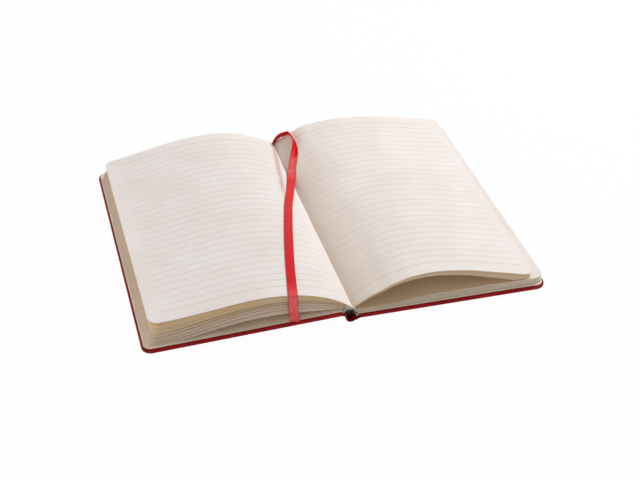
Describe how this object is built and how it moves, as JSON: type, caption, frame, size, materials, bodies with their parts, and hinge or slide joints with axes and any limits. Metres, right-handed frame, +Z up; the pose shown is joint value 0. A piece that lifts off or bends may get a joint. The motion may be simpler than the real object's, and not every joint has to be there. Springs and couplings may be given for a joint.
{
  "type": "hardcover notebook",
  "caption": "Open hard-cover ruled notebook: two stiff skinned covers on a curled spine, arched cream pages and a ribbon marker.",
  "frame": {"origin": "on the table, in the middle of the open covers", "axes": "+X across the spread towards the back cover, +Y along the spine towards the head, +Z up"},
  "size_m": [0.2664, 0.2121, 0.0268],
  "materials": {
    "leatherette": "fine grained satin",
    "board": "matte",
    "endpaper": "matte",
    "pages": "matte",
    "gauze": "open weave",
    "band": "woven",
    "ribbon": "satin"
  },
  "bodies": {
    "book_block": {"page_block": "pages", "spine_leatherette": "leatherette", "spine_card": "board", "spine_gauze": "gauze", "head_band": "band", "tail_band": "band", "ribbon_marker": "ribbon"},
    "front_cover": {"front_board": "board", "front_leatherette": "leatherette", "front_endpaper": "endpaper"},
    "back_cover": {"back_board": "board", "back_leatherette": "leatherette", "back_endpaper": "endpaper"}
  },
  "joints": [
    {"name": "front_cover_hinge", "type": "hinge", "parent": "book_block", "child": "front_cover", "pos_m": [-0.0042, 0, 0.0047], "axis": [0, -1, 0], "range_deg": [0, 88]},
    {"name": "back_cover_hinge", "type": "hinge", "parent": "book_block", "child": "back_cover", "pos_m": [0.0042, 0, 0.001], "axis": [0, 1, 0], "range_deg": [0, 88]}
  ]
}
